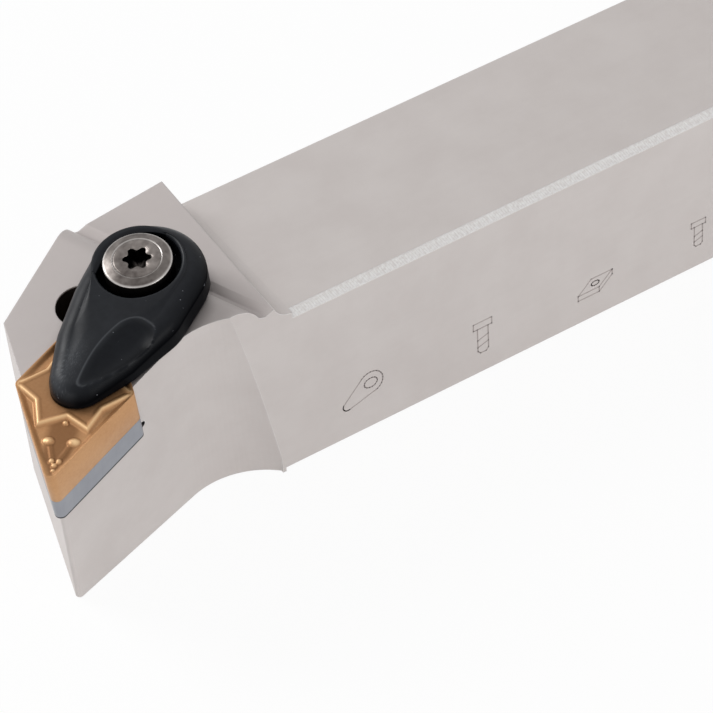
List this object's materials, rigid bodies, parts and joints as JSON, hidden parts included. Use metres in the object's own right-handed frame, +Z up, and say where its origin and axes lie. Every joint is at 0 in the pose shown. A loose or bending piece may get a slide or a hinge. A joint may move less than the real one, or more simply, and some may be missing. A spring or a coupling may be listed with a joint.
{
  "type": "turning tool holder",
  "caption": "Right-hand turning tool holder: square shank and raked head carrying a rhombic insert on its shim, held down by a moulded top clamp, a screw and a lifting spring.",
  "frame": {"origin": "under the middle of the overall length and the overall width, in the plane of the shank's base", "axes": "+X along the shank from the nose to the rear end, +Y from the cutting side to the far side, +Z up"},
  "size_m": [0.15, 0.032, 0.0348],
  "materials": {
    "body_steel": "satin nickel-like steel, ground shank, milled head",
    "shim_carbide": "ground grey carbide",
    "screw_steel": "turned steel, slightly polished",
    "insert_coating": "copper-gold hard coating on carbide",
    "clamp_black": "smooth blue-black oxide, semi-gloss",
    "spring_steel": "drawn spring wire"
  },
  "bodies": {
    "holder": {"holder_body": "body_steel", "shim": "shim_carbide", "shim_screw": "screw_steel", "insert": "insert_coating", "clamp_spring": "spring_steel"},
    "clamp": {"clamp": "clamp_black"},
    "clamp_screw": {"clamp_screw": "screw_steel"}
  },
  "joints": [
    {"name": "clamp_lift", "type": "slide", "parent": "holder", "child": "clamp", "axis": [-0.1214, -0.0872, 0.9888], "range_m": [0, 0.0024], "deforming": ["clamp_spring"]},
    {"name": "clamp_screw_turn", "type": "hinge", "parent": "clamp", "child": "clamp_screw", "pos_m": [-0.0518, 0.00112, 0.02919], "axis": [-0.1214, -0.0872, 0.9888], "range_deg": [0, 1080]}
  ],
  "couplings": [
    {"joint": "clamp_screw_turn", "follows": "clamp_lift", "rad_per_m": 7854}
  ]
}
